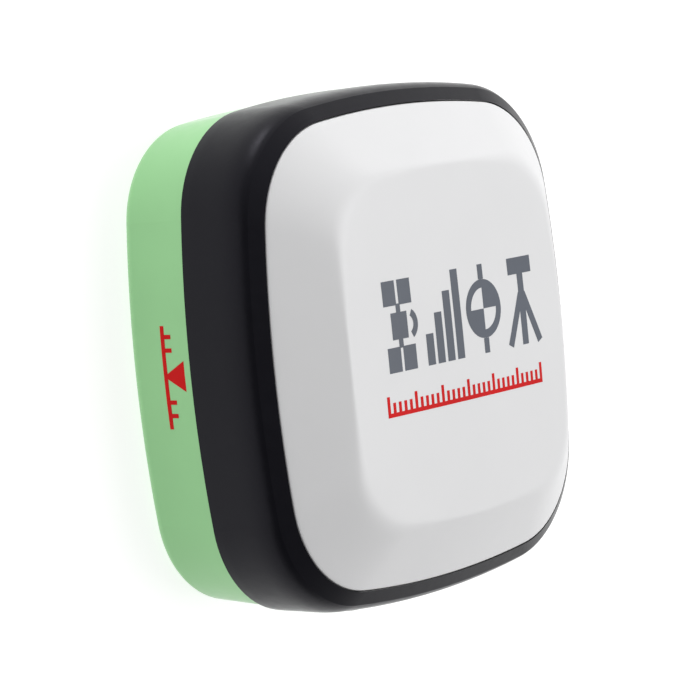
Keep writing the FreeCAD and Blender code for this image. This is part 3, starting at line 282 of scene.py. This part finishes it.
def cover_rubber():
    finish = moulded("cover_rubber", (0.022, 0.024, 0.030), 0.6, 0.35 * MM, 0.012 * MM, 0.08)
    return dusty(finish, 0.10, 0.35)


def light_clear():
    finish = moulded("light_clear", (0.75, 0.80, 0.76), 0.2, vary=0.03)
    shader(finish).inputs["Transmission Weight"].default_value = 0.6
    return finish


def led_white():
    return moulded("led_white", (0.80, 0.80, 0.60), 0.3, 0.3 * MM)


def board_green():
    """Solder mask with the faint relief of copper tracks under it."""
    material, tree, surface = new_material("board_green")
    tracks = noise(tree, 1.2 * MM, detail=0, stretch=(1, 0.15, 1))
    tint = two_tone(tree, tracks, (0.006, 0.085, 0.035), (0.015, 0.16, 0.065))
    tree.links.new(tint, surface.inputs["Base Color"])
    surface.inputs["Roughness"].default_value = 0.35
    relief(tree, surface, (tracks, 0.02 * MM))
    return glossy(material, 0.5, 0.15)


def shield_tin():
    return metal("shield_tin", (0.60, 0.60, 0.60), 0.3, (2, 2, 1))


def chip_black():
    return moulded("chip_black", (0.02, 0.02, 0.02), 0.45, 0.2 * MM, 0.006 * MM, 0.1)


def module_ceramic():
    return moulded("module_ceramic", (0.75, 0.72, 0.65), 0.5, 0.2 * MM, 0.006 * MM)


def connector_ivory():
    return moulded("connector_ivory", (0.75, 0.70, 0.55), 0.4, 0.3 * MM)


def cell_wrap():
    return glossy(moulded("cell_wrap", (0.03, 0.16, 0.35), 0.35, 1.5 * MM, 0.02 * MM), 0.6, 0.1)


def cable_black():
    return moulded("cable_black", (0.02, 0.02, 0.02), 0.45, 0.3 * MM, 0.008 * MM, 0.1)


def flex_amber():
    return glossy(moulded("flex_amber", (0.50, 0.22, 0.04), 0.3, 0.4 * MM), 0.4, 0.1)


def chassis_aluminium():
    return metal("chassis_aluminium", (0.60, 0.61, 0.63), 0.4, (0.2, 3, 1))


def patch_ceramic():
    return moulded("patch_ceramic", (0.66, 0.50, 0.36), 0.55, 0.25 * MM, 0.008 * MM)


def feed_gold():
    return metal("feed_gold", (0.85, 0.62, 0.25), 0.2, (1, 1, 4))


def print_grey():
    return moulded("print_grey", (0.065, 0.078, 0.105), 0.40, 0.3 * MM, 0.002 * MM, 0.06)


def print_red():
    return dull(moulded("print_red", (0.60, 0.003, 0.004), 0.45, 0.3 * MM, 0.002 * MM, 0.05), 0.1)


def print_white():
    return moulded("print_white", (0.75, 0.75, 0.75), 0.5, 0.3 * MM, 0.002 * MM)


FINISHES = {make.__name__: make() for make in (
    housing_green, bumper_rubber, radome_white, frame_black, seal_rubber, insert_brass,
    screw_steel, plate_aluminium, vent_plastic, vent_film, panel_gloss, button_red,
    cover_rubber, light_clear, led_white, board_green, shield_tin, chip_black,
    module_ceramic, connector_ivory, cell_wrap, cable_black, flex_amber,
    chassis_aluminium, patch_ceramic, feed_gold, print_grey, print_red, print_white)}


def paint(piece, slot):
    """Give a piece the finish of one of the record's slots."""
    piece.data.materials.clear()
    piece.data.materials.append(FINISHES[slot])


# ---- mesh helpers ---------------------------------------------------------------------------

def new_piece(name, mesh_maker, slot, body, sharp=40):
    """Turn a bmesh into a piece that takes a slot's finish and rides on a body."""
    bmesh.ops.recalc_face_normals(mesh_maker, faces=mesh_maker.faces)
    mesh = bpy.data.meshes.new(name)
    mesh_maker.to_mesh(mesh)
    mesh_maker.free()
    mesh.shade_smooth()
    mesh.set_sharp_from_angle(angle=math.radians(sharp))
    piece = bpy.data.objects.new(name, mesh)
    SCENE.collection.objects.link(piece)
    paint(piece, slot)
    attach(piece, body)
    return piece


def mix(start, end, share):
    """The value that lies that share of the way from start to end."""
    return start + (end - start) * share


def on_outline(half, corner, share):
    """The point of a bulged square that lies that share of the way round, from its -45 degree corner."""
    quarter, part = divmod(4 * share, 1)
    side_radius = half + BULGE_OFFSET
    reach = math.sqrt(2 * (side_radius - corner) ** 2 - BULGE_OFFSET ** 2)
    centre = (reach - BULGE_OFFSET) / 2
    swing = math.atan2(centre, centre + BULGE_OFFSET)
    if CORNER_SHARE <= part <= 1 - CORNER_SHARE:
        angle = swing * (2 * (part - CORNER_SHARE) / (1 - 2 * CORNER_SHARE) - 1)
        middle, radius = (-BULGE_OFFSET, 0), side_radius
    else:
        side = 1 if part > 0.5 else -1
        turned = 1 - min(part, 1 - part) / CORNER_SHARE
        angle = side * mix(swing, QUARTER / 2, turned)
        middle, radius = (centre, side * centre), corner
    x = middle[0] + radius * math.cos(angle)
    y = middle[1] + radius * math.sin(angle)
    turn = quarter * QUARTER
    return x * math.cos(turn) - y * math.sin(turn), x * math.sin(turn) + y * math.cos(turn)


def outline_ring(maker, half, corner, height):
    """A ring of vertices on an outline; height is worked out from x, y and the share round."""
    ring = []
    for i in range(8 * CELLS):
        share = i / (8 * CELLS)
        x, y = on_outline(half, corner, share)
        ring.append(maker.verts.new((x, y, height(x, y, share))))
    return ring


def bridge(maker, rings):
    """Join each ring to the next with quads."""
    for low, high in zip(rings, rings[1:]):
        count = len(low)
        for i in range(count):
            following = (i + 1) % count
            maker.faces.new((low[i], low[following], high[following], high[i]))


def round_square(i, j):
    """The place of grid point (i, j) round its own square, as a share from the -45 degree corner."""
    reach = max(abs(i), abs(j))
    if i == reach and j < reach:
        steps = j + reach
    elif j == reach and i > -reach:
        steps = 3 * reach - i
    elif i == -reach and j > -reach:
        steps = 5 * reach - j
    else:
        steps = 7 * reach + i
    return steps / (8 * reach) % 1


def close_with_grid(maker, ring, half, corner, height):
    """Fill a ring with a grid of quads made of shrunken copies of its own outline."""
    points = {}
    for i in range(-CELLS, CELLS + 1):
        for j in range(-CELLS, CELLS + 1):
            reach = max(abs(i), abs(j))
            share = round_square(i, j) if reach else 0
            if reach == CELLS:
                points[i, j] = ring[round(share * len(ring)) % len(ring)]
                continue
            x, y = (reach / CELLS * part for part in on_outline(half, corner, share))
            points[i, j] = maker.verts.new((x, y, height(x, y, share, reach / CELLS)))
    for i in range(-CELLS, CELLS):
        for j in range(-CELLS, CELLS):
            corners = ((i, j), (i + 1, j), (i + 1, j + 1), (i, j + 1))
            maker.faces.new([points[place] for place in corners])


# ---- the white cap --------------------------------------------------------------------------

def dome_height(x, y):
    """Height of the cap's shallow dome."""
    return DOME_TOP - DOME_RADIUS + math.sqrt(DOME_RADIUS ** 2 - x * x - y * y)


def blended_minimum(first, second, width):
    """The lower of two heights, with a rounded change from one to the other."""
    overlap = max(width - abs(first - second), 0) / width
    return min(first, second) - overlap ** 2 * width / 4


def crease_width(share):
    """The crease between slope and dome is crisp along the sides and soft at the corners."""
    at_corner = math.cos(4 * math.pi * share) ** 2
    return mix(CREASE_AT_SIDES, CREASE_AT_CORNERS, at_corner)


def flat(level):
    """A height that is the same all the way round."""
    return lambda x, y, share: level


def under_dome(level):
    """A height that the dome cuts off, with the crease between them blended."""
    return lambda x, y, share: blended_minimum(level, dome_height(x, y), crease_width(share))


def plateau_height(x, y, share, reach):
    """The slope carried on inwards and cut off by the dome; reach is 1 at the plateau's edge."""
    gradient = (PEAK_HIGH - RIM_TOP) / (RIM_HALF - PEAK_HALF)
    slope = PEAK_HIGH + (1 - reach) * PEAK_HALF * gradient
    return under_dome(slope)(x, y, share)


def make_cap_outside(maker):
    """The rim, the slope and the dome. Gives back the ring at the foot of the rim."""
    rings = [outline_ring(maker, RIM_HALF, RIM_CORNER, flat(RIM_LOW))]
    for above, inwards in RIM_ROUNDING:
        rings.append(outline_ring(maker, RIM_HALF - inwards * MM, RIM_CORNER - inwards * MM,
                                  flat(RIM_TOP + above * MM)))
    for step in SLOPE_STEPS:
        rings.append(outline_ring(maker, mix(RIM_HALF, PEAK_HALF, step),
                                  mix(RIM_CORNER, PEAK_CORNER, step),
                                  under_dome(mix(RIM_TOP, PEAK_HIGH, step))))
    bridge(maker, rings)
    close_with_grid(maker, rings[-1], PEAK_HALF, PEAK_CORNER, plateau_height)
    return rings[0]


def make_cap_inside(maker, foot):
    """The spigot and the hollow, from the foot of the rim inwards."""
    rings = [foot]
    for half, corner, level in (
            (SPIGOT_HALF, SPIGOT_CORNER, RIM_LOW), (SPIGOT_HALF, SPIGOT_CORNER, SPIGOT_LOW),
            (HOLLOW_HALF, HOLLOW_CORNER, SPIGOT_LOW), (HOLLOW_HALF, HOLLOW_CORNER, HOLLOW_TURN),
            (CEILING_HALF, CEILING_CORNER, CEILING)):
        rings.append(outline_ring(maker, half, corner, flat(level)))
    bridge(maker, rings)
    close_with_grid(maker, rings[-1], CEILING_HALF, CEILING_CORNER,
                    lambda x, y, share, reach: CEILING)


def make_cap():
    """The radome: its outside, its inside and four screw bosses."""
    maker = bmesh.new()
    make_cap_inside(maker, make_cap_outside(maker))
    for quarter in range(4):
        turn = Quaternion(UP, quarter * QUARTER)
        add_tube(maker, turn @ Vector((BOSS_X, BOSS_Y, 0)), BOSS_RADIUS, BOSS_BORE, BOSS_LOW, BOSS_TOP)
    cap = new_piece("radome_shell", maker, "radome_white", "root")
    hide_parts("radome")


def add_tube(maker, centre, radius, bore, low, top, steps=32):
    """A closed upright tube."""
    rings = []
    for reach, level in ((radius, low), (radius, top), (bore, top), (bore, low)):
        rings.append([maker.verts.new((centre.x + reach * math.cos(i * 2 * math.pi / steps),
                                       centre.y + reach * math.sin(i * 2 * math.pi / steps), level))
                      for i in range(steps)])
    bridge(maker, rings + rings[:1])


# ---- printed marks ---------------------------------------------------------------------------

def bar(x0, y0, x1, y1, width, pieces=6):
    """A straight stroke of ink, as its two long edges."""
    length = math.hypot(x1 - x0, y1 - y0)
    across = (-(y1 - y0) / length * width / 2, (x1 - x0) / length * width / 2)
    steps = [i / pieces for i in range(pieces + 1)]
    middle = [(mix(x0, x1, share), mix(y0, y1, share)) for share in steps]
    left = [(x + across[0], y + across[1]) for x, y in middle]
    right = [(x - across[0], y - across[1]) for x, y in middle]
    return left, right


def block(left, low, right, top, pieces=3):
    """An upright filled rectangle."""
    return bar((left + right) / 2, low, (left + right) / 2, top, right - left, pieces)


def arc(x, y, outer, inner, start, end, pieces=24):
    """A stroke along an arc, from its outer to its inner radius; an inner radius of 0 fills it."""
    angles = [math.radians(mix(start, end, i / pieces)) for i in range(pieces + 1)]
    edges = [[(x + radius * math.cos(a), y + radius * math.sin(a)) for a in angles]
             for radius in (outer, inner)]
    return edges[0], edges[1]


def wedge(tip, first, second):
    """A filled triangle."""
    return [tip, first], [tip, second]


def ink(name, strokes, surface, out, slot, body="root"):
    """Thin closed slabs of ink on a surface, whose function turns millimetres into a point."""
    maker = bmesh.new()
    for left, right in strokes:
        verts = {}
        for place in left + right:
            if place not in verts:
                verts[place] = maker.verts.new(surface(*place) - out * INK_SUNK)
        faces = []
        for corners in zip(left, left[1:], right[1:], right):
            loop = list(dict.fromkeys(verts[place] for place in corners))
            faces.append(maker.faces.new(loop))
        raised = bmesh.ops.extrude_face_region(maker, geom=faces, use_keep_orig=True)
        lifted = [item for item in raised["geom"] if isinstance(item, bmesh.types.BMVert)]
        bmesh.ops.translate(maker, verts=lifted, vec=out * (INK_PROUD + INK_SUNK))
    return new_piece(name, maker, slot, body)


def on_dome(x, y):
    """A point of the cap's plateau."""
    return Vector((x * MM, y * MM, dome_height(x * MM, y * MM)))


def on_base_side(y, z):
    """A point of the base's left side, which bulges and widens upwards."""
    radius = BULGE_OFFSET + BASE_HALF + z * MM * math.tan(BASE_DRAFT)
    return Vector((BULGE_OFFSET - math.sqrt(radius ** 2 - (y * MM) ** 2), y * MM, z * MM))


def on_console(x, z):
    """A point of the console's face, or of the closed port cover's, which is level with it."""
    return Vector((x * MM, CONSOLE_FACE, z * MM))


def in_button_dish(x, z):
    """A point of the floor of the button's dish."""
    return Vector((x * MM, BUTTON_DISH, z * MM))


def bars_icon(x, y):
    """Signal strength: four bars that grow to the right."""
    count, width, gap = 4, 2.5, 0.9
    start = x - (count * width + (count - 1) * gap) / 2
    for i in range(count):
        left = start + i * (width + gap)
        share = (i + 1.6) / (count + 0.6)
        yield block(left, y - ICON_HALF, left + width, y - ICON_HALF + 2 * ICON_HALF * share)


def satellite_icon(x, y):
    """A satellite: a body between two split solar panels."""
    yield block(x - 2.6, y - 2.8, x + 2.6, y + 2.8)
    yield block(x - 0.7, y - 4.6, x + 0.7, y - 2.8)
    yield block(x - 0.7, y + 2.8, x + 0.7, y + 4.6)
    for low, top in ((-ICON_HALF, -4.3), (4.3, ICON_HALF)):
        yield block(x - 4.6, y + low, x - 0.4, y + top)
        yield block(x + 0.4, y + low, x + 4.6, y + top)
    yield arc(x + 2.6, y, 3.4, 1.9, -60, 60)


def target_icon(x, y):
    """A survey target: a ring with two filled quarters and ticks above and below."""
    yield arc(x, y, 6.3, 4.5, 0, 360, 48)
    yield arc(x, y, 4.5, 0, 0, 90)
    yield arc(x, y, 4.5, 0, 180, 270)
    yield block(x - 0.9, y + 6.3, x + 0.9, y + ICON_HALF)
    yield block(x - 0.9, y - ICON_HALF, x + 0.9, y - 6.3)


def tripod_icon(x, y):
    """A receiver on its tripod."""
    yield block(x - 4.4, y + 5.9, x + 4.4, y + ICON_HALF)
    yield block(x - 1.1, y - ICON_HALF, x + 1.1, y + 5.9)
    yield bar(x - 0.4, y + 1.6, x - 5.6, y - 9.3, 1.9)
    yield bar(x + 0.4, y + 1.6, x + 5.6, y - 9.3, 1.9)


def make_cap_pictograms():
    """A row of four pictograms, printed in grey on the cap."""
    strokes = []
    for icon, x in zip((satellite_icon, bars_icon, target_icon, tripod_icon), ICON_PLACES):
        strokes.extend(icon(x, ICON_MIDDLE))
    ink("print_pictograms", strokes, on_dome, UP, "print_grey")


def make_cap_scale():
    """A red scale bar below the pictograms: 30 spaces, with a long tick at every fifth."""
    left, right, low, top = -27.4, 27.6, -13.0, -8.6
    line, short_tick, spaces = 0.9, 3.0, 30
    strokes = [bar(left, low + line / 2, right, low + line / 2, line, 20)]
    for i in range(spaces + 1):
        x = left + line / 2 + i * (right - left - line) / spaces
        reach = top if i % 5 == 0 else low + short_tick
        strokes.append(block(x - line / 2, low + line, x + line / 2, reach))
    ink("print_scale", strokes, on_dome, UP, "print_red")


def make_base_mark():
    """A red antenna height mark on the base's left side: a line with a triangle standing on it."""
    line_z, line_low, line_top = 10.6, -11.0, 10.5
    strokes = [bar(line_low, line_z, line_top, line_z, 1.1, 12),
               wedge((0, line_z - 0.5), (-3.2, line_z + 5.6), (3.2, line_z + 5.6))]
    for y in (-8.2, -5.4, 5.4, 8.2):
        strokes.append(bar(y, line_z, y, line_z + 2.4, 0.9, 2))
    ink("print_height_mark", strokes, on_base_side, LEFT, "print_red")


def battery_icon(x, z):
    """The outline of a battery with its terminal."""
    yield bar(x - 1.4, z - 0.75, x + 1.1, z - 0.75, 0.3, 2)
    yield bar(x - 1.4, z + 0.75, x + 1.1, z + 0.75, 0.3, 2)
    yield bar(x - 1.25, z - 0.6, x - 1.25, z + 0.6, 0.3, 2)
    yield bar(x + 0.95, z - 0.6, x + 0.95, z + 0.6, 0.3, 2)
    yield block(x + 1.1, z - 0.3, x + 1.4, z + 0.3)


def fix_icon(x, z):
    """A ring with a dot: the position is fixed."""
    yield arc(x, z, 1.2, 0.9, 0, 360, 32)
    yield arc(x, z, 0.45, 0, 0, 360, 16)


def link_icon(x, z):
    """A dot with two waves: the radio link."""
    yield arc(x, z - 0.8, 0.35, 0, 0, 360, 16)
    yield arc(x, z - 0.8, 1.15, 0.85, 40, 140, 10)
    yield arc(x, z - 0.8, 1.95, 1.65, 40, 140, 12)


def make_console_marks():
    """Marks above the three lights, on the button and on the port cover."""
    strokes = []
    for i, icon in enumerate((battery_icon, fix_icon, link_icon)):
        x = LIGHTS_MIDDLE.x + (i - 1) * LIGHT_PITCH
        strokes.extend(icon(x, LIGHTS_MIDDLE.z + LIGHT_MARK_RISE))
    ink("print_console", strokes, on_console, FRONT, "print_white")
    x, z = BUTTON_MIDDLE.x, BUTTON_MIDDLE.z
    power = [arc(x, z, 2.0, 1.5, 125, 415, 32), block(x - 0.25, z + 0.5, x + 0.25, z + 2.3)]
    ink("print_power", power, in_button_dish, FRONT, "print_white", "button")
    x, z = COVER_MIDDLE.x, COVER_MIDDLE.z + COVER_MARK_RISE
    tip, foot = (x + 0.5, z + 2.2), (x - 0.5, z - 2.2)
    bolt = [([tip, (x - 1.4, z - 0.3), (x - 0.15, z - 0.3), foot],
             [tip, (x + 0.15, z + 0.3), (x + 1.4, z + 0.3), foot])]
    ink("print_charge", bolt, on_console, FRONT, "print_white", "cover")


def make_thread():
    """The helical ridge inside the brass insert."""
    maker = bmesh.new()
    turns = (THREAD_TOP - THREAD_LOW) / THREAD_PITCH
    steps = round(turns * THREAD_STEPS)
    profile = ((THREAD_WALL, -THREAD_ROOT_HALF), (THREAD_CREST, -THREAD_CREST_HALF),
               (THREAD_CREST, THREAD_CREST_HALF), (THREAD_WALL, THREAD_ROOT_HALF))
    rings = []
    for step in range(steps + 1):
        angle = 2 * math.pi * turns * step / steps
        height = mix(THREAD_LOW, THREAD_TOP, step / steps)
        places = [(radius * math.cos(angle), radius * math.sin(angle), height + rise)
                  for radius, rise in profile]
        rings.append([maker.verts.new(place) for place in places])
    bridge(maker, rings)
    maker.faces.new(rings[0])
    maker.faces.new(rings[-1])
    new_piece("insert_thread", maker, "insert_brass", "root", 50)


# ---- studio ----------------------------------------------------------------------------------

def make_floor():
    """A pale sheet that the receiver lies on, a hair below its bottom face."""
    reach, low = 6.0, -0.05 * MM
    mesh = bpy.data.meshes.new("floor")
    corners = [(x * reach, y * reach, low) for x, y in ((-1, -1), (1, -1), (1, 1), (-1, 1))]
    mesh.from_pydata(corners, [], [(0, 1, 2, 3)])
    floor = bpy.data.objects.new("floor", mesh)
    SCENE.collection.objects.link(floor)
    material, tree, surface = new_material("floor")
    tint = two_tone(tree, noise(tree, 0.3), (0.38, 0.38, 0.38), (0.40, 0.40, 0.40))
    tree.links.new(tint, surface.inputs["Base Color"])
    surface.inputs["Roughness"].default_value = 0.6
    surface.inputs["Emission Color"].default_value = (1, 1, 1, 1)
    surface.inputs["Emission Strength"].default_value = 0.78
    mesh.materials.append(material)


def add_light(name, place, size, power):
    """A square soft box that faces the receiver."""
    light = bpy.data.lights.new(name, "AREA")
    light.size = size
    light.energy = power
    lamp = bpy.data.objects.new(name, light)
    lamp.location = place
    lamp.rotation_mode = "QUATERNION"
    lamp.rotation_quaternion = (RECEIVER_MIDDLE - Vector(place)).to_track_quat("-Z", "Y")
    lamp.visible_camera = False
    SCENE.collection.objects.link(lamp)


RECEIVER_MIDDLE = Vector((0, 0, 0.025))
BRIGHT_SIDE = (0.67, 0.65, -0.36)       # where the room is brightest
DIM, BRIGHT, HORIZON = 0.22, 1.05, 1.0  # the room's strengths


def make_lights():
    """A pale room that is white at the horizon and dimmer behind the camera, and two soft boxes."""
    world = bpy.data.worlds.new("studio")
    SCENE.world = world
    world.use_nodes = True
    tree = world.node_tree
    background = tree.nodes["Background"]
    background.inputs["Color"].default_value = (1, 1, 1, 1)
    direction = tree.nodes.new("ShaderNodeTexCoord")
    facing = tree.nodes.new("ShaderNodeVectorMath")
    facing.operation = "DOT_PRODUCT"
    facing.inputs[1].default_value = BRIGHT_SIDE
    axes = tree.nodes.new("ShaderNodeSeparateXYZ")
    strength = tree.nodes.new("ShaderNodeMath")
    strength.operation = "MAXIMUM"
    tree.links.new(direction.outputs["Generated"], facing.inputs[0])
    tree.links.new(direction.outputs["Generated"], axes.inputs["Vector"])
    tree.links.new(ranged(tree, facing.outputs["Value"], -0.8, 0.6, DIM, BRIGHT), strength.inputs[0])
    tree.links.new(ranged(tree, axes.outputs["Z"], 0.05, 0.12, HORIZON, 0.2), strength.inputs[1])
    tree.links.new(strength.outputs["Value"], background.inputs["Strength"])
    add_light("key", (0.50, -0.05, 1.25), 0.9, 9)
    add_light("rim", (-0.15, 0.90, 0.02), 0.35, 3)


def add_camera():
    """The camera stands to the left of the receiver, rolled so that +Y is up in the picture."""
    heading, tilt, roll = math.radians(-6.463), math.radians(38.797), math.radians(88.304)
    camera = bpy.data.objects.new("camera", bpy.data.cameras.new("camera"))
    camera.data.lens = 173.79
    camera.data.sensor_width = 36
    camera.data.clip_end = 50
    forward = Vector((math.cos(tilt) * math.cos(heading), math.cos(tilt) * math.sin(heading),
                      -math.sin(tilt)))
    camera.location = (-0.5681, 0.0627, 0.4761)
    camera.rotation_mode = "QUATERNION"
    camera.rotation_quaternion = forward.to_track_quat("-Z", "Y") @ Quaternion((0, 0, 1), roll)
    SCENE.collection.objects.link(camera)
    SCENE.camera = camera


SLOTS = {row["node"]: row["material_slot"] for row in frame["record"]["subparts"]}
for node, piece in frame["nodes"].items():
    paint(piece, SLOTS[node])
make_cap()
make_cap_pictograms()
make_cap_scale()
make_base_mark()
make_console_marks()
make_thread()
make_floor()
make_lights()
add_camera()
SCENE.view_settings.view_transform = "Standard"
